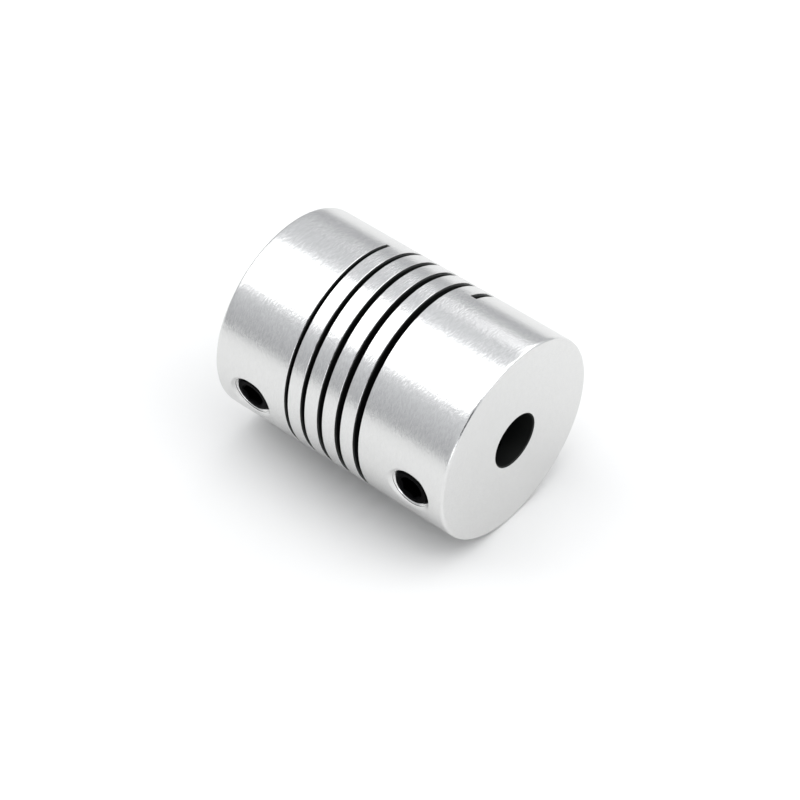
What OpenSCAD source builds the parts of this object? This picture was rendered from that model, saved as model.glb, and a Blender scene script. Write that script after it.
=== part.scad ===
// Flexible helical beam shaft coupling, cut from one piece of aluminium, with four set screws.
// Millimetres. The shaft axis is Z, the bottom face lies on Z = 0 and the first set screw points along +X.

/* [Body] */
// Outside diameter of the coupling
body_d = 19; // [18.5:0.5:26]
// Overall length along the shaft axis
body_l = 25; // [24:0.5:34]
// Width of the 45 degree edge break round both end faces
end_chamfer = 0.25; // [0.1:0.05:0.5]

/* [Shaft bores] */
// Bore for the shaft in the top hub
top_bore_d = 5; // [3:0.05:6]
// Bore for the shaft in the bottom hub
bottom_bore_d = 8; // [6.35:0.05:8.5]
// Depth of the bottom bore's straight wall, which the drill's cone joins to the top bore
bottom_bore_l = 12; // [8.5:0.5:16]
// Point angle of that cone
drill_angle = 118; // [90:2:140]
// Width of the 45 degree edge break at each bore's mouth
bore_chamfer = 0.1; // [0.05:0.05:0.3]

/* [Helical cut] */
// Length of the solid hub below the cut
bottom_hub_l = 7.27; // [6.6:0.05:8]
// Number of turns of the cut, right-handed going up
cut_turns = 5.01; // [2:0.01:5.5]
// Thickness of the flexing beam left between two turns of the cut
beam_t = 1.37; // [1:0.01:1.5]
// Width of the cut at its lower end, where the beam has closed up a little
cut_w_bottom = 0.37; // [0.3:0.01:0.7]
// Width of the cut at its upper end
cut_w_top = 0.64; // [0.4:0.01:0.8]
// Direction in which the cut starts, in degrees from the first set screw
cut_start = 237; // [0:1:360]

/* [Set screws] */
// Thread diameter of the set screws
screw_d = 4; // [3:0.5:5]
// Length of a set screw
screw_l = 5; // [4:0.5:5]
// Depth of the hexagon socket
socket_depth = 2; // [1:0.1:2.2]
// How far the screws' outer ends sit below the outside of the body
screw_recess = 0.3; // [0:0.05:0.4]
// Radial clearance between a screw and its hole
screw_gap = 0.05; // [0.02:0.01:0.1]
// Width of the 45 degree edge break round a screw's outer end
screw_chamfer = 0.4; // [0.1:0.05:0.5]
// Angle between the two screws of one hub
screw_spread = 90; // [75:5:120]
// How far the bottom hub's screws are turned from the top hub's
hub_twist = 5; // [0:0.1:10]
// Distance from the top face to its screws
top_screw_inset = 3.6; // [3:0.1:4.4]
// Distance from the bottom face to its screws
bottom_screw_inset = 3.8; // [3:0.1:4.2]
// Extra radius of the 60 degree countersink at each tapped hole's mouth
countersink = 0.25; // [0.1:0.01:0.4]

/* [Hidden] */
// Segments that round shapes are drawn with
round_fn = 96;
screw_fn = 48;
// Rings of the cut in one turn
cut_steps = 60;
// How far a cut-out runs on past the surface that it opens
overcut = 0.5;
body_r = body_d / 2;
top_bore_r = top_bore_d / 2;
bottom_bore_r = bottom_bore_d / 2;
// Height of the cone between the two bores
step_h = (bottom_bore_r - top_bore_r) / tan(drill_angle / 2);
screw_r = screw_d / 2 - screw_gap;
hole_r = screw_d / 2;
// Height at which the cut's centre line starts
cut_z_start = bottom_hub_l + cut_w_bottom / 2;
// The socket's width across flats and the cup point's rim are both half of the thread's diameter
socket_af = screw_d / 2;
cup_r = screw_d / 4;
// Radius of the socket's corners
socket_r = socket_af / 2 / cos(30);
// Depth of the 60 degree countersink
countersink_h = countersink / tan(30);

// The cut's width after so many turns: it opens quickly at first and then levels off.
function cut_width(turns) = cut_w_top - (cut_w_top - cut_w_bottom) * pow(1 - turns / cut_turns, 2);

// The height of the cut's centre line. A turn climbs by the beam and by the cut's own mean width.
function cut_centre(turns) =
    cut_z_start + (beam_t + cut_w_top) * turns
    - (cut_w_top - cut_w_bottom) * cut_turns / 3 * (1 - pow(1 - turns / cut_turns, 3));

// The four corners of the cut's section after so many turns, inner and lower corner first.
function cut_corners(turns, r_in, r_out) = [
    for (corner = [[r_in, -1], [r_out, -1], [r_out, 1], [r_in, 1]])
        let (angle = cut_start + 360 * turns)
        [
            corner[0] * cos(angle),
            corner[0] * sin(angle),
            cut_centre(turns) + corner[1] * cut_width(turns) / 2
        ]
];

// The body as it leaves the lathe: the outside, the two bores that meet in the middle and the broken edges.
module turned_blank() {
    rotate_extrude($fn = round_fn)
        polygon([
            [bottom_bore_r + bore_chamfer, 0],
            [body_r - end_chamfer, 0],
            [body_r, end_chamfer],
            [body_r, body_l - end_chamfer],
            [body_r - end_chamfer, body_l],
            [top_bore_r + bore_chamfer, body_l],
            [top_bore_r, body_l - bore_chamfer],
            [top_bore_r, bottom_bore_l + step_h],
            [bottom_bore_r, bottom_bore_l],
            [bottom_bore_r, bore_chamfer]
        ]);
}

// The cut as a solid ribbon: its section swept round the axis and closed square at both ends.
module helical_cut() {
    r_in = top_bore_r - overcut;
    r_out = body_r + overcut;
    rings = ceil(cut_turns * cut_steps);
    points = [for (i = [0:rings]) each cut_corners(cut_turns * i / rings, r_in, r_out)];
    sides = [
        for (i = [0:rings - 1], k = [0:3])
            let (a = 4 * i + k, b = 4 * i + (k + 1) % 4)
            each [[a, b, b + 4], [a, b + 4, a + 4]]
    ];
    last = 4 * rings;
    ends = [[3, 2, 1], [3, 1, 0], [last, last + 1, last + 2], [last, last + 2, last + 3]];
    polyhedron(points = points, faces = concat(sides, ends));
}

// Puts what it is given at each of the four set screws, with local Z pointing out along the screw.
module at_screws() {
    for (hub = [[body_l - top_screw_inset, 0], [bottom_screw_inset, hub_twist]], k = [0:1])
        translate([0, 0, hub[0]])
            rotate([0, 0, hub[1] + k * screw_spread])
                rotate([0, 90, 0])
                    children();
}

// A tapped hole from the bore to the outside, with its countersink. The thread itself isn't modelled.
module tapped_hole() {
    cylinder(h = body_r + overcut, r = hole_r, $fn = screw_fn);
    translate([0, 0, body_r - countersink_h])
        cylinder(h = 2 * countersink_h, r1 = hole_r, r2 = hole_r + 2 * countersink, $fn = screw_fn);
}

// A set screw along local Z: cup point below on Z = 0, hexagon socket with a drilled floor above.
module set_screw() {
    point_h = screw_r - cup_r;
    drill_r = socket_af / 2;
    bevel = socket_r - socket_af / 2;
    difference() {
        rotate_extrude($fn = screw_fn)
            polygon([
                [0, cup_r / 2],
                [cup_r, 0],
                [screw_r, point_h],
                [screw_r, screw_l - screw_chamfer],
                [screw_r - screw_chamfer, screw_l],
                [0, screw_l]
            ]);
        translate([0, 0, screw_l - socket_depth])
            cylinder(h = socket_depth + overcut, r = socket_r, $fn = 6);
        translate([0, 0, screw_l - socket_depth - drill_r / 2])
            cylinder(h = drill_r / 2, r1 = 0, r2 = drill_r, $fn = screw_fn);
        translate([0, 0, screw_l - bevel])
            cylinder(h = 2 * bevel, r1 = drill_r, r2 = drill_r + 2 * bevel, $fn = screw_fn);
    }
}

module coupling_body() {
    color("#d9dadd")
        difference() {
            turned_blank();
            helical_cut();
            at_screws()
                tapped_hole();
        }
}

module set_screws() {
    color("#1c1c1e")
        at_screws()
            translate([0, 0, body_r - screw_recess - screw_l])
                set_screw();
}

coupling_body();
set_screws();
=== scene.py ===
"""Dresses the flexible shaft coupling: its turned and sawn surfaces, its threads and set screws, and a plain
studio round it."""

import bpy
import numpy as np
from bpy.props import FloatProperty, FloatVectorProperty, PointerProperty
from mathutils import Matrix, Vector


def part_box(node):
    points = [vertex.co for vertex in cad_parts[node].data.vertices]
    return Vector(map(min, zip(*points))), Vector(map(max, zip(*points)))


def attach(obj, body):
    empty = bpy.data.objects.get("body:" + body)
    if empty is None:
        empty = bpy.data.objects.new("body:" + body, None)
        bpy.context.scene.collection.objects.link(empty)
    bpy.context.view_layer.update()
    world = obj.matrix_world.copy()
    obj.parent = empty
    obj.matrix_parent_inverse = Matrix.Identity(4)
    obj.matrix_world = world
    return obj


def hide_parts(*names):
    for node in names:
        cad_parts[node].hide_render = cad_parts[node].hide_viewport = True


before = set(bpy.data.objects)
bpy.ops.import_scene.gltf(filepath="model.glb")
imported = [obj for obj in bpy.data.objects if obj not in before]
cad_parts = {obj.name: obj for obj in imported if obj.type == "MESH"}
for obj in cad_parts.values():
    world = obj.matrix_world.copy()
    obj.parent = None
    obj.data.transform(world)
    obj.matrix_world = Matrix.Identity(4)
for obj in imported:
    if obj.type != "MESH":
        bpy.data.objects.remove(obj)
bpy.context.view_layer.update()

bl_info = {
    "name": "Flexible Shaft Coupling",
    "version": (1, 0, 0),
    "blender": (4, 5, 0),
    "location": "View3D > Sidebar > Coupling",
    "description": "Builds a helical beam shaft coupling with its set screws and a plain studio",
    "category": "Add Mesh",
}

MM = 0.001
# How finely round shapes are drawn: points round the body, round a tapped hole and round a screw, and rings
# in one turn of the cut and in one pitch of a thread.
BODY_POINTS, HOLE_POINTS, SCREW_POINTS = 360, 96, 72
CUT_RINGS, THREAD_RINGS = 120, 12
# Faces that meet at a smaller angle than this are shaded as one surface.
SMOOTH_ANGLE = np.radians(30)
# A point that is this close to a surface counts as lying on it.
TOUCHING = 0.002 * MM


def linear(code):
    """An sRGB hex colour as linear red, green and blue."""
    srgb = np.array([int(code[i : i + 2], 16) for i in (1, 3, 5)]) / 255
    return tuple(np.where(srgb <= 0.04045, srgb / 12.92, ((srgb + 0.055) / 1.055) ** 2.4).tolist())


def size(name, text, mm):
    """A length property, given in millimetres."""
    return FloatProperty(name=name, description=text, default=mm * MM, unit="LENGTH", precision=5)


def colour(name, text, code):
    """A colour property, given as an sRGB hex value."""
    return FloatVectorProperty(
        name=name, description=text, default=linear(code), subtype="COLOR", min=0, max=1
    )


class BodySettings(bpy.types.PropertyGroup):
    length: FloatProperty(
        name="Length",
        description="Overall length along the shaft axis",
        default=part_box("coupling_body")[1][2],
        unit="LENGTH",
    )
    radius: FloatProperty(
        name="Radius",
        description="Outside radius",
        default=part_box("coupling_body")[1][0],
        unit="LENGTH",
    )
    edge: size("Edge Break", "Radius of the rounded edge round both end faces", 0.28)
    roll: size("Edge Roll", "How far the outside falls away towards that edge", 0.01)
    roll_length: size("Edge Roll Length", "Length over which it falls away", 0.45)
    top_bore: size("Top Bore Radius", "Radius of the bore in the top hub", 2.5)
    bottom_bore: size("Bottom Bore Radius", "Radius of the bore in the bottom hub", 4.0)
    bottom_bore_length: size("Bottom Bore Depth", "Depth of the bottom bore's straight wall", 12.0)
    bore_cone: size("Bore Cone", "Height of the drilled cone between the two bores", 0.9013)
    bore_edge: size("Bore Edge Break", "Width of the chamfer at each bore's mouth", 0.1)
    hub: size("Bottom Hub", "Length of the solid hub below the cut", 7.27)
    beam: size("Beam", "Thickness of the beam between two turns of the cut", 1.37)
    cut_bottom: size("Cut Width Below", "Width of the cut at its lower end", 0.37)
    cut_top: size("Cut Width Above", "Width of the cut at its upper end", 0.64)
    cut_edge: size("Cut Edge Break", "Width of the broken edge along the cut", 0.04)
    turns: FloatProperty(name="Turns", description="Number of turns of the cut", default=5.01)
    start: FloatProperty(
        name="Cut Start",
        description="Direction in which the cut starts",
        default=np.radians(237),
        unit="ROTATION",
    )


class ScrewSettings(bpy.types.PropertyGroup):
    top_inset: size("Top Inset", "Distance from the top face to its screws", 3.6)
    bottom_inset: size("Bottom Inset", "Distance from the bottom face to its screws", 3.8)
    twist: FloatProperty(
        name="Twist",
        description="Turn of the bottom hub's screws from the top hub's",
        default=np.radians(5),
        unit="ROTATION",
    )
    major: size("Thread Radius", "Outer radius of the tapped thread", 2.0)
    minor: size("Core Radius", "Inner radius of the tapped thread", 1.65)
    pitch: size("Thread Pitch", "Climb of the thread in one turn", 0.7)
    mouth: size("Hole Mouth Radius", "Radius of the broken edge round a tapped hole", 2.18)
    throat: size("Hole Throat Radius", "Radius at which that broken edge ends", 1.9)
    throat_depth: size("Hole Throat Depth", "Depth of the throat below the body's full radius", 0.29)
    # Below this depth a tapped hole takes the sawn material and its painted shade.
    rubbed: size("Rubbed Depth", "How far below the outside a tapped hole is rubbed bright", 0.55)
    length: size("Screw Length", "Length of a set screw", 5.0)
    recess: size("Recess", "How far a screw's end sits below the outside", 0.3)
    chamfer: size("Screw Chamfer", "Width of the chamfer at a screw's outer end", 0.4)
    socket: size("Socket", "Width across flats of the hexagon socket", 2.0)
    socket_depth: size("Socket Depth", "Depth of the hexagon socket", 2.0)
    gap: size("Thread Gap", "Radial play between a screw's thread and its hole's", 0.03)


class FinishSettings(bpy.types.PropertyGroup):
    aluminium: colour("Turned Aluminium", "Colour of the turned faces", "#E3E3E2")
    # Sawn and Deep are the two ends of a painted shade on the sawn, drilled and tapped faces: darker further
    # below the outside, where little light reaches.
    sawn: colour("Sawn Aluminium", "Colour of the sawn and tapped faces near the outside", "#A9AAA9")
    deep: colour("Deep Aluminium", "Colour of the sawn, drilled and tapped faces deep inside", "#343534")
    black: colour("Black Oxide", "Colour of the set screws", "#0C0C0D")


class StageSettings(bpy.types.PropertyGroup):
    floor: colour("Floor", "Colour of the table", "#DADAD9")
    lens: FloatProperty(
        name="Lens", description="Focal length of the camera in millimetres", default=133.08
    )
    overhead: FloatProperty(
        name="Overhead Box", description="Brightness of the soft box overhead", default=1.7, min=0
    )
    behind: FloatProperty(
        name="Back Box", description="Brightness of the soft box behind", default=1.4, min=0
    )


class CouplingSettings(bpy.types.PropertyGroup):
    body: PointerProperty(type=BodySettings)
    screws: PointerProperty(type=ScrewSettings)
    finish: PointerProperty(type=FinishSettings)
    stage: PointerProperty(type=StageSettings)


def mesh_object(name, points, faces):
    """An object in the scene made of these points and faces."""
    mesh = bpy.data.meshes.new(name)
    mesh.from_pydata(points.reshape(-1, 3).tolist(), [], faces)
    piece = bpy.data.objects.new(name, mesh)
    bpy.context.scene.collection.objects.link(piece)
    return piece


def ring_faces(rings, count, wrap):
    """Quads between neighbouring closed rings of points, and from the last ring back to the first if wrap is
    set."""
    i, j = np.meshgrid(np.arange(rings if wrap else rings - 1), np.arange(count), indexing="ij")
    up, on = (i + 1) % rings, (j + 1) % count
    corners = [i * count + j, i * count + on, up * count + on, up * count + j]
    return np.stack(corners, -1).reshape(-1, 4).tolist()


def capped_tube(name, rings):
    """A closed solid from rings[i, j] = point j of ring i. Each end is closed with a fan from the middle of
    its ring."""
    n, count = rings.shape[:2]
    first, last = n * count, n * count + 1
    j = np.arange(count)
    on = (j + 1) % count
    start = np.stack([first + 0 * j, on, j], -1)
    end = np.stack([last + 0 * j, (n - 1) * count + j, (n - 1) * count + on], -1)
    points = np.concatenate([rings.reshape(-1, 3), rings[[0, -1]].mean(1)])
    return mesh_object(name, points, ring_faces(n, count, False) + start.tolist() + end.tolist())


def turned_blank(body):
    """The outline of the turned part, (r, z) round both bores and both end faces, revolved round Z. Tumbling
    has left its outer edges round: towards an end the outside falls away as the square of the distance, and
    then turns the corner on an ellipse."""
    # Directions round the corner, and then the share of the roll that is left on the way to the straight
    # wall.
    corner = np.radians(np.linspace(0, 90, 11))
    reach = np.linspace(1, 0, 9)[1:]
    edge = body.edge - body.roll
    out = np.array([
        *(body.radius - body.edge + edge * np.sin(corner)),
        *(body.radius - body.roll * reach**2),
    ])
    up = np.array([*(body.edge * (1 - np.cos(corner))), *(body.edge + body.roll_length * (1 - reach))])
    outline = np.array([
        (body.bottom_bore + body.bore_edge, 0),
        *zip(out, up),
        *zip(out[::-1], body.length - up[::-1]),
        (body.top_bore + body.bore_edge, body.length),
        (body.top_bore, body.length - body.bore_edge),
        (body.top_bore, body.bottom_bore_length + body.bore_cone),
        (body.bottom_bore, body.bottom_bore_length),
        (body.bottom_bore, body.bore_edge),
    ])
    turn = np.linspace(0, 2 * np.pi, BODY_POINTS, endpoint=False)
    r, z = outline[:, :1], outline[:, 1:]
    points = np.stack([r * np.cos(turn), r * np.sin(turn), z + 0 * turn], -1)
    return mesh_object("coupling_body_skin", points, ring_faces(len(outline), len(turn), True))


def helical_cut(body):
    """The sawn cut as a solid ribbon. After t of N turns its width is w1 - (w1 - w0) (1 - t/N)^2, and its
    middle has climbed by one beam and one mean width a turn. Its section is square inside, with a row of
    points where the bright strip below its mouth ends, and flares at 45 degrees over the broken edge and past
    the outside."""
    t = np.linspace(0, body.turns, int(body.turns * CUT_RINGS))[:, None]
    left = 1 - t / body.turns
    w0, w1 = body.cut_bottom, body.cut_top
    half = (w1 - (w1 - w0) * left**2) / 2
    middle = body.hub + w0 / 2 + (body.beam + w1) * t - (w1 - w0) * body.turns / 3 * (1 - left**3)
    # Below the strip the cut's walls take the sawn material and its painted shade.
    strip, over = 0.12 * MM, 0.3 * MM
    # The section's four radii from the inside outwards, which its points take going out on one side and back
    # in on the other.
    levels = np.array([
        body.top_bore - over,
        body.radius - strip,
        body.radius - body.cut_edge,
        body.radius + over,
    ])
    order = [0, 1, 2, 3, 3, 2, 1, 0]
    radii = levels[order]
    flare = np.array([0, 0, 0, body.cut_edge + over])[order]
    side = np.repeat([1, -1], 4)
    turn = body.start + 2 * np.pi * t
    rings = [radii * np.cos(turn), radii * np.sin(turn), middle + side * (half + flare)]
    return capped_tube("cut", np.stack(rings, -1))


def screw_places(body, screws):
    """The four screws: height and direction of each, the top hub's first."""
    top, bottom = body.length - screws.top_inset, screws.bottom_inset
    twist, quarter = screws.twist, np.pi / 2
    return [(top, 0.0), (top, quarter), (bottom, twist), (bottom, twist + quarter)]


def about_screw(place, profile, turn):
    """Rings of points round a screw's axis, one for each pair in the profile: the distance from the shaft
    axis and the radius round the screw's own, each a number or an array with a value for every direction in
    turn."""
    height, direction = place
    x, r = (np.array([part + 0 * turn for part in parts]) for parts in zip(*profile))
    across, up = r * np.cos(turn), height + r * np.sin(turn)
    return np.stack([
        x * np.cos(direction) - across * np.sin(direction),
        x * np.sin(direction) + across * np.cos(direction),
        up,
    ], -1)


def thread(screws, x, turn, start):
    """Radius of a right-hand thread: a wave that climbs one pitch a turn, cut flat at its crest and root."""
    # Share of the pitch that is flat at the crest, and again at the root.
    flat = 0.15
    phase = ((x - start) / screws.pitch - turn / (2 * np.pi)) % 1
    wave = np.clip((1 - np.abs(2 * phase - 1) - flat) / (1 - 2 * flat), 0, 1)
    return screws.minor + (screws.major - screws.minor) * wave


def tapped_hole(body, screws, place, start):
    """A tapped hole as a solid to cut away, from inside the smaller bore to past the outside. Ring by ring it
    is the thread, the tap's lead-in that opens it at 45 degrees, a short straight throat, and a cone from
    there to the mouth, whose ring follows the curved outside, then straight on out."""
    turn = np.linspace(0, 2 * np.pi, HOLE_POINTS, endpoint=False)
    inner, straight, over = 1.2 * MM, 0.05 * MM, 0.5 * MM
    outside = np.sqrt(body.radius**2 - (screws.mouth * np.cos(turn)) ** 2)
    throat = body.radius - screws.throat_depth
    lead = throat - straight - (screws.throat - screws.minor)
    x = np.arange(inner, lead, screws.pitch / THREAD_RINGS)[:, None]
    profile = [
        *zip(x, thread(screws, x, turn, start)),
        (lead, screws.minor),
        (throat - straight, screws.throat),
        (throat, screws.throat),
        (outside, screws.mouth),
        (outside + over, screws.mouth),
    ]
    return capped_tube("hole", about_screw(place, profile, turn))


def set_screw_rings(body, screws, place, start, spin):
    """One set screw as rings from its cup point, up its thread, over its end and down the hexagon socket to
    the drilled hole in its floor. The point's rim is as wide as the socket, and both cones are half as
    high."""
    turn = np.linspace(0, 2 * np.pi, SCREW_POINTS, endpoint=False)
    # Radius of the last ring at each end, width of the socket's lead-in at its corners, and the step down and
    # in where its floor begins.
    tip, edge, floor_edge, floor_share = 0.02 * MM, 0.04 * MM, 0.1 * MM, 0.85
    top = body.radius - screws.recess
    foot, floor = top - screws.length, top - screws.socket_depth
    cup, core = screws.socket / 2, screws.minor - screws.gap
    end = screws.major - screws.gap - screws.chamfer
    x = np.arange(foot + core - cup, top, screws.pitch / THREAD_RINGS)[:, None]
    wall = thread(screws, x, turn, start) - screws.gap
    wall = np.minimum(wall, end + top - x)
    wall = np.minimum(wall, cup + x - foot)
    hexagon = cup / np.cos((turn - spin) % (np.pi / 3) - np.pi / 6)
    corner = cup / np.cos(np.pi / 6) + edge
    profile = [
        (foot + cup / 2, tip),
        (foot, cup),
        *zip(x, wall),
        (top, end),
        (top, corner),
        (top - (corner - hexagon), hexagon),
        (floor, hexagon),
        (floor - floor_edge, floor_share * hexagon),
        (floor - cup / 2, tip),
    ]
    return about_screw(place, profile, turn)


def cut_away(piece, cutters):
    """Takes the cutters out of the piece and keeps the result as its own mesh."""
    for cutter in cutters:
        step = piece.modifiers.new(cutter.name, "BOOLEAN")
        step.object, step.operation, step.solver = cutter, "DIFFERENCE", "MANIFOLD"
    bpy.context.view_layer.update()
    graph = bpy.context.evaluated_depsgraph_get()
    result = bpy.data.meshes.new_from_object(piece.evaluated_get(graph), depsgraph=graph)
    piece.modifiers.clear()
    piece.data = result
    result.materials.clear()
    for cutter in cutters:
        bpy.data.meshes.remove(cutter.data)
    if len(result.polygons) == 0:
        raise RuntimeError("the cuts left nothing of " + piece.name)


def read(items, field, width, kind=np.float32):
    """A field of a mesh's points, corners or faces as an array."""
    values = np.empty(len(items) * width, kind)
    items.foreach_get(field, values)
    return values.reshape(-1, width) if width > 1 else values


def smooth(mesh):
    """Smooth shading, with the sharper edges left sharp."""
    mesh.shade_smooth()
    mesh.set_sharp_from_angle(angle=SMOOTH_ANGLE)


def true_normals(mesh, body):
    """Gives the corners on the outside, the bores and the end faces the real surface's normals: away from the
    axis, towards it, and along it."""
    points = read(mesh.vertices, "co", 3)[read(mesh.loops, "vertex_index", 1, np.int32)]
    count = read(mesh.polygons, "loop_total", 1, np.int32)
    face = np.repeat(read(mesh.polygons, "normal", 3), count, 0)
    normals = read(mesh.corner_normals, "vector", 3)
    away = points * (1, 1, 0)
    r = np.linalg.norm(away, axis=1, keepdims=True)
    away /= r
    facing = (face * away).sum(1)
    # Cosines above which a face counts as an end face, and as part of a wall round the axis.
    level, upright = 0.9999, 0.99
    flat = np.abs(face[:, 2]) > level
    normals[flat] = face[flat].round()
    for radius, sign in ((body.radius, 1), (body.top_bore, -1), (body.bottom_bore, -1)):
        on = (np.abs(r[:, 0] - radius) < TOUCHING) & (sign * facing > upright)
        normals[on] = sign * away[on]
    mesh.normals_split_custom_set(normals.tolist())


def paint_inside(mesh, body, screws):
    """Gives the second material, with its painted shade, to what the saw, the drills and the taps left
    inside. The first stays on the turned outside, the end faces, the bright strip along the cut and the
    rubbed edges of the holes."""
    centre = read(mesh.polygons, "center", 3)
    r = np.hypot(centre[:, 0], centre[:, 1])
    half = body.length / 2
    inside = (r < body.radius - screws.rubbed) & (np.abs(centre[:, 2] - half) < half - TOUCHING)
    mesh.polygons.foreach_set("material_index", inside.astype(np.int32))


def add(tree, kind, inputs=None, **settings):
    """Adds a node to the tree. Settings are its properties. Each input takes a value, or a link from another
    node's socket."""
    node = tree.nodes.new(kind)
    for key, value in settings.items():
        setattr(node, key, value)
    for key, value in (inputs or {}).items():
        if isinstance(value, bpy.types.NodeSocket):
            tree.links.new(value, node.inputs[key])
        else:
            node.inputs[key].default_value = value
    return node


def new_material(name):
    """An empty material and its node tree."""
    material = bpy.data.materials.new(name)
    material.use_nodes = True
    material.node_tree.nodes.clear()
    return material, material.node_tree


# In the materials below, a colour Mix node takes its factor at input 0 and its colours at 6 and 7, and gives
# its result at output 2.


def turned_aluminium(finish):
    """Aluminium bar as it leaves the lathe: bright, with the tool's fine rings round the axis, broken into
    short streaks that fray the edges of reflections. The real feed is about 0.05 mm, and the rings are drawn
    at 0.13 mm so that they show."""
    ring, streak_length = 0.13 * MM, 0.4 * MM
    material, tree = new_material("turned aluminium")
    place = add(tree, "ShaderNodeTexCoord").outputs["Object"]
    part = add(tree, "ShaderNodeSeparateXYZ", {0: place})
    flat = add(tree, "ShaderNodeVectorMath", {0: place, 1: (1, 1, 0)}, operation="MULTIPLY")
    radius = add(tree, "ShaderNodeVectorMath", {0: flat.outputs[0]}, operation="LENGTH")
    # Radius less height changes across the rings both on the outside and on the end faces.
    along = add(tree, "ShaderNodeMath", {
        0: radius.outputs["Value"],
        1: part.outputs["Z"],
    }, operation="SUBTRACT")
    ringed = add(tree, "ShaderNodeCombineXYZ", {
        0: along.outputs[0],
        1: part.outputs["X"],
        2: part.outputs["Y"],
    })
    streak = add(tree, "ShaderNodeVectorMath", {
        0: ringed.outputs[0],
        1: (1 / ring, 1 / streak_length, 1 / streak_length),
    }, operation="MULTIPLY")
    rings = add(tree, "ShaderNodeTexNoise", {
        "Vector": streak.outputs[0],
        "Scale": 1,
        "Detail": 2,
        "Roughness": 0.6,
    })
    bump = add(tree, "ShaderNodeBump", {
        "Height": rings.outputs["Fac"],
        "Distance": 0.016 * MM,
        "Strength": 1,
    })
    gloss = add(tree, "ShaderNodeMapRange", {
        "Value": rings.outputs["Fac"],
        "To Min": 0.16,
        "To Max": 0.3,
    })
    fleck = add(tree, "ShaderNodeMapRange", {
        "Value": rings.outputs["Fac"],
        "From Min": 0.35,
        "From Max": 0.65,
    })
    dull, bright = ((*(share * c for c in finish.aluminium), 1) for share in (0.965, 1.035))
    tone = add(tree, "ShaderNodeMix", {0: fleck.outputs["Result"], 6: dull, 7: bright}, data_type="RGBA")
    metal = add(tree, "ShaderNodeBsdfPrincipled", {
        "Base Color": tone.outputs[2],
        "Metallic": 1,
        "Roughness": gloss.outputs["Result"],
        "Normal": bump.outputs["Normal"],
    })
    add(tree, "ShaderNodeOutputMaterial", {"Surface": metal.outputs[0]})
    return material


def sawn_aluminium_painted_shade(finish, radius):
    """Aluminium behind the saw, the drills and the taps: rough and dull, and painted darker soon below the
    outside, a painted shade where little light falls. The tools' marks are about 0.15 mm apart."""
    # Depth below the outside over which the painted shade darkens the colour from sawn to deep, and the
    # spacing of the tools' marks.
    painted_shade_depth, marks_apart = 0.35 * MM, 0.15 * MM
    material, tree = new_material("sawn aluminium")
    place = add(tree, "ShaderNodeTexCoord").outputs["Object"]
    flat = add(tree, "ShaderNodeVectorMath", {0: place, 1: (1, 1, 0)}, operation="MULTIPLY")
    away = add(tree, "ShaderNodeVectorMath", {0: flat.outputs[0]}, operation="LENGTH")
    # Painted shade: the colour runs from the deep one at that depth to the sawn one at the outside.
    light = add(tree, "ShaderNodeMapRange", {
        "Value": away.outputs["Value"],
        "From Min": radius - painted_shade_depth,
        "From Max": radius,
    })
    tone = add(tree, "ShaderNodeMix", {
        0: light.outputs["Result"],
        6: (*finish.deep, 1),
        7: (*finish.sawn, 1),
    }, data_type="RGBA")
    marks = add(tree, "ShaderNodeTexNoise", {"Vector": place, "Scale": 1 / marks_apart, "Detail": 2})
    bump = add(tree, "ShaderNodeBump", {
        "Height": marks.outputs["Fac"],
        "Distance": 0.01 * MM,
        "Strength": 0.3,
    })
    metal = add(tree, "ShaderNodeBsdfPrincipled", {
        "Base Color": tone.outputs[2],
        "Metallic": 1,
        "Roughness": 0.6,
        "Normal": bump.outputs["Normal"],
    })
    add(tree, "ShaderNodeOutputMaterial", {"Surface": metal.outputs[0]})
    return material


def black_oxide_steel(finish):
    """Hardened steel with a black oxide finish: near black, with an oily half gloss, and faintly uneven over
    about 0.1 mm."""
    grain_size = 0.1 * MM
    material, tree = new_material("black oxide steel")
    place = add(tree, "ShaderNodeTexCoord").outputs["Object"]
    grain = add(tree, "ShaderNodeTexNoise", {"Vector": place, "Scale": 1 / grain_size, "Detail": 3})
    bump = add(tree, "ShaderNodeBump", {
        "Height": grain.outputs["Fac"],
        "Distance": 0.004 * MM,
        "Strength": 0.3,
    })
    gloss = add(tree, "ShaderNodeMapRange", {
        "Value": grain.outputs["Fac"],
        "To Min": 0.3,
        "To Max": 0.5,
    })
    metal = add(tree, "ShaderNodeBsdfPrincipled", {
        "Base Color": (*finish.black, 1),
        "Metallic": 1,
        "Specular Tint": (0.55, 0.55, 0.55, 1),
        "Roughness": gloss.outputs["Result"],
        "Normal": bump.outputs["Normal"],
    })
    add(tree, "ShaderNodeOutputMaterial", {"Surface": metal.outputs[0]})
    return material


# How far each screw's thread is turned, in pitches, and its socket, in degrees: no two screws stop alike.
THREAD_STARTS = (0.58, 0.2, 0.5, 0.8)
SOCKET_TURNS = (12, 41, 28, 3)


class COUPLING_OT_body(bpy.types.Operator):
    """Build the turned body with its helical cut and tapped holes"""

    bl_idname = "coupling.body"
    bl_label = "Coupling Body"

    def execute(self, context):
        coupling = context.scene.coupling
        body, screws = coupling.body, coupling.screws
        piece = turned_blank(body)
        places = zip(screw_places(body, screws), THREAD_STARTS)
        holes = [tapped_hole(body, screws, place, start * screws.pitch) for place, start in places]
        cut_away(piece, [helical_cut(body), *holes])
        smooth(piece.data)
        true_normals(piece.data, body)
        piece.data.materials.append(turned_aluminium(coupling.finish))
        piece.data.materials.append(sawn_aluminium_painted_shade(coupling.finish, body.radius))
        paint_inside(piece.data, body, screws)
        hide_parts("coupling_body")
        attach(piece, "root")
        return {"FINISHED"}


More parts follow.
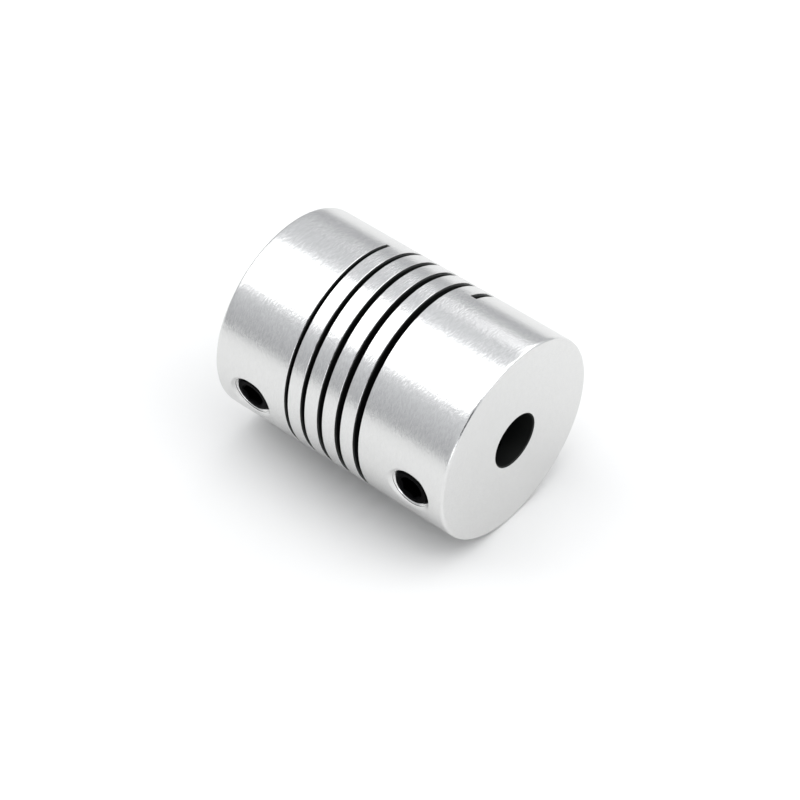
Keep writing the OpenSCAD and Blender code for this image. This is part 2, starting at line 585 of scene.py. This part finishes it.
class COUPLING_OT_screws(bpy.types.Operator):
    """Build the four set screws"""

    bl_idname = "coupling.screws"
    bl_label = "Set Screws"

    def execute(self, context):
        coupling = context.scene.coupling
        body, screws = coupling.body, coupling.screws
        steel = black_oxide_steel(coupling.finish)
        places = screw_places(body, screws)
        for number, (place, start, spin) in enumerate(zip(places, THREAD_STARTS, SOCKET_TURNS), 1):
            rings = set_screw_rings(body, screws, place, start * screws.pitch, np.radians(spin))
            piece = capped_tube(f"set_screw_{number}", rings)
            smooth(piece.data)
            piece.data.materials.append(steel)
            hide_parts("set_screws")
            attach(piece, "root")
        return {"FINISHED"}


# The table's normal, the direction along the table that lies across the coupling, towards the camera, and how
# far the table reaches from the coupling.
TABLE_TURN = np.radians(-94.8)
TABLE_UP = np.array([np.cos(TABLE_TURN), np.sin(TABLE_TURN), 0])
TABLE_ACROSS = np.array([-np.sin(TABLE_TURN), np.cos(TABLE_TURN), 0])
TABLE_REACH = 0.8
# The camera's place and its right, up and forward directions, in the coupling's own frame.
CAMERA_PLACE = (0.1194986, -0.1883553, 0.1268595)
CAMERA_RIGHT = (-0.644065, 0.054587, 0.76302)
CAMERA_UP = (-0.602815, -0.650293, -0.462313)
CAMERA_FORWARD = (-0.47095, 0.75772, -0.451737)


def white_table(stage):
    """Pale card, absent from behind. It is a little lighter to the camera than to the metal, so that it is
    plain white where nothing shades it."""
    lift = 1.1
    material, tree = new_material("white card")
    path = add(tree, "ShaderNodeLightPath")
    tone = add(tree, "ShaderNodeMix", {
        0: path.outputs["Is Camera Ray"],
        6: (*stage.floor, 1),
        7: (*(lift * c for c in stage.floor), 1),
    }, data_type="RGBA")
    card = add(tree, "ShaderNodeBsdfDiffuse", {"Color": tone.outputs[2]})
    clear = add(tree, "ShaderNodeBsdfTransparent")
    back = add(tree, "ShaderNodeNewGeometry").outputs["Backfacing"]
    both = add(tree, "ShaderNodeMixShader", {0: back, 1: card.outputs[0], 2: clear.outputs[0]})
    add(tree, "ShaderNodeOutputMaterial", {"Surface": both.outputs[0]})
    return material


def studio_room(scene):
    """The room round the table: white to the camera, and to the metal a cool grey that grows lighter overhead
    and towards the near end, with a low window and, high beyond the near end, the dark shape of the camera
    stand. Its brightness is (grey + window) (1 - stand)."""
    world = bpy.data.worlds.new("studio")
    world.use_nodes = True
    scene.world = world
    tree = world.node_tree
    tree.nodes.clear()
    view = add(tree, "ShaderNodeTexCoord").outputs["Generated"]

    # The grey follows the direction's share along the table's normal, plus some of that along the shaft axis.
    height = add(tree, "ShaderNodeVectorMath", {
        0: view,
        1: tuple(TABLE_UP + (0, 0, 0.4)),
    }, operation="DOT_PRODUCT")
    grey = add(tree, "ShaderNodeMapRange", {
        "Value": height.outputs["Value"],
        "From Min": -0.18,
        "From Max": 0.72,
        "To Min": 0.46,
        "To Max": 0.85,
    })

    # The camera stand is at 47 degrees from straight overhead, going round the shaft axis. Its sides fade out
    # between two cosines, and its ends between two distances from its middle along the axis.
    turn, middle = np.radians(47), 0.63
    stand = np.cos(turn) * TABLE_UP + np.sin(turn) * TABLE_ACROSS
    flat = add(tree, "ShaderNodeVectorMath", {0: view, 1: (1, 1, 0)}, operation="MULTIPLY")
    side = add(tree, "ShaderNodeVectorMath", {0: flat.outputs[0]}, operation="NORMALIZE")
    near = add(tree, "ShaderNodeVectorMath", {0: side.outputs[0], 1: tuple(stand)}, operation="DOT_PRODUCT")
    wide = add(tree, "ShaderNodeMapRange", {
        "Value": near.outputs["Value"],
        "From Min": 0.89,
        "From Max": 0.95,
    })
    along = add(tree, "ShaderNodeSeparateXYZ", {0: view}).outputs["Z"]
    past = add(tree, "ShaderNodeMath", {0: along, 1: middle}, operation="SUBTRACT")
    off = add(tree, "ShaderNodeMath", {0: past.outputs[0]}, operation="ABSOLUTE")
    tall = add(tree, "ShaderNodeMapRange", {
        "Value": off.outputs[0],
        "From Min": 0.3,
        "From Max": 0.22,
    })
    dark = add(tree, "ShaderNodeMath", {
        0: wide.outputs["Result"],
        1: tall.outputs["Result"],
    }, operation="MULTIPLY")
    light = add(tree, "ShaderNodeMath", {0: 1, 1: dark.outputs[0]}, operation="SUBTRACT")

    # The window is round and lies low on the camera's side, beyond the near end. Its edge fades between two
    # cosines.
    window = add(tree, "ShaderNodeVectorMath", {
        0: view,
        1: tuple(0.82 * TABLE_ACROSS + (0, 0, 0.57)),
    }, operation="DOT_PRODUCT")
    glow = add(tree, "ShaderNodeMapRange", {
        "Value": window.outputs["Value"],
        "From Min": 0.87,
        "From Max": 0.97,
        "To Max": 1.2,
    })

    bright = add(tree, "ShaderNodeMath", {
        0: grey.outputs["Result"],
        1: glow.outputs["Result"],
    }, operation="ADD")
    level = add(tree, "ShaderNodeMath", {0: bright.outputs[0], 1: light.outputs[0]}, operation="MULTIPLY")
    seen = add(tree, "ShaderNodeLightPath").outputs["Is Camera Ray"]
    strength = add(tree, "ShaderNodeMix", {0: seen, 2: level.outputs[0], 3: 1})
    cool, white = (0.97, 0.985, 1.02, 1), (1, 1, 1, 1)
    tint = add(tree, "ShaderNodeMix", {0: seen, 6: cool, 7: white}, data_type="RGBA")
    room = add(tree, "ShaderNodeBackground", {"Color": tint.outputs[2], "Strength": strength.outputs[0]})
    add(tree, "ShaderNodeOutputWorld", {"Surface": room.outputs[0]})


def frame_matrix(right, up, forward, place):
    """The matrix of a camera or lamp that looks along forward."""
    axes = np.array([right, up, -np.asarray(forward)]).T
    return Matrix(np.block([[axes, np.array(place)[:, None]], [0, 0, 0, 1]]).tolist())


def soft_box(name, brightness, middle, spread, lean, low, high):
    """A soft box that lies along the coupling half a metre away. Its middle stands at an angle from straight
    overhead, it covers the spread to each side of that, and it reaches from low to high along the shaft axis.
    It leans away from the near side by an angle, turned about the point that the coupling's outside mirrors
    to the camera. Angles are in degrees and lengths in metres."""
    middle, spread, lean = np.radians((middle, spread, lean))
    distance, pivot = 0.5, -0.25
    out = np.cos(middle) * TABLE_UP + np.sin(middle) * TABLE_ACROSS
    side = np.cross((0, 0, 1), out)
    tilt = np.array([[np.cos(lean), np.sin(lean)], [-np.sin(lean), np.cos(lean)]])
    across, along = tilt @ [side, (0, 0, 1)]
    place = distance * out + (0, 0, pivot) + ((low + high) / 2 - pivot) * along
    light = bpy.data.lights.new(name, "AREA")
    light.shape, light.size, light.size_y = "RECTANGLE", 2 * distance * np.tan(spread), high - low
    light.energy = brightness * np.pi * light.size * light.size_y
    lamp = bpy.data.objects.new(name, light)
    lamp.matrix_world = frame_matrix(across, along, -out, place)
    lamp.visible_camera = False
    bpy.context.scene.collection.objects.link(lamp)


class COUPLING_OT_stage(bpy.types.Operator):
    """Build the table, the soft boxes, the room and the camera"""

    bl_idname = "coupling.stage"
    bl_label = "Studio"

    def execute(self, context):
        scene = context.scene
        body, stage = scene.coupling.body, scene.coupling.stage
        foot = -body.radius * TABLE_UP
        corners = [
            foot + TABLE_REACH * (a * TABLE_ACROSS + b * np.array([0, 0, 1]))
            for a, b in ((-1, -1), (-1, 1), (1, 1), (1, -1))
        ]
        table = mesh_object("table", np.array(corners), [(3, 2, 1, 0)])
        table.data.materials.append(white_table(stage))
        soft_box("soft box overhead", stage.overhead, middle=10.2, spread=25, lean=20, low=-0.8, high=1.2)
        soft_box("soft box behind", stage.behind, middle=-54, spread=9, lean=0, low=-0.2, high=0.6)
        studio_room(scene)
        lens = bpy.data.cameras.new("camera")
        lens.sensor_width, lens.lens = 36, stage.lens
        lens.clip_start, lens.clip_end = 0.01, 10
        camera = bpy.data.objects.new("camera", lens)
        camera.matrix_world = frame_matrix(CAMERA_RIGHT, CAMERA_UP, CAMERA_FORWARD, CAMERA_PLACE)
        scene.collection.objects.link(camera)
        scene.camera = camera
        scene.view_settings.view_transform = "Standard"
        return {"FINISHED"}


class VIEW3D_PT_coupling(bpy.types.Panel):
    """Lists the coupling's pieces and sizes"""

    bl_label = "Flexible Shaft Coupling"
    bl_space_type = "VIEW_3D"
    bl_region_type = "UI"
    bl_category = "Coupling"

    def draw(self, context):
        coupling = context.scene.coupling
        groups = (
            ("Body", coupling.body),
            ("Set screws", coupling.screws),
            ("Finish", coupling.finish),
            ("Studio", coupling.stage),
        )
        for label, group in groups:
            box = self.layout.box()
            box.label(text=label)
            for key in group.bl_rna.properties.keys():
                if key not in ("rna_type", "name"):
                    box.prop(group, key)
        for step in STEPS:
            self.layout.operator(step.bl_idname)


STEPS = (COUPLING_OT_body, COUPLING_OT_screws, COUPLING_OT_stage)
GROUPS = (BodySettings, ScrewSettings, FinishSettings, StageSettings, CouplingSettings)
CLASSES = (*GROUPS, *STEPS, VIEW3D_PT_coupling)


def register():
    for cls in CLASSES:
        bpy.utils.register_class(cls)
    bpy.types.Scene.coupling = PointerProperty(type=CouplingSettings)


def unregister():
    del bpy.types.Scene.coupling
    for cls in reversed(CLASSES):
        bpy.utils.unregister_class(cls)


def main():
    """Builds every piece and the studio."""
    register()
    bpy.ops.coupling.body()
    bpy.ops.coupling.screws()
    bpy.ops.coupling.stage()


if __name__ == "__main__":
    main()
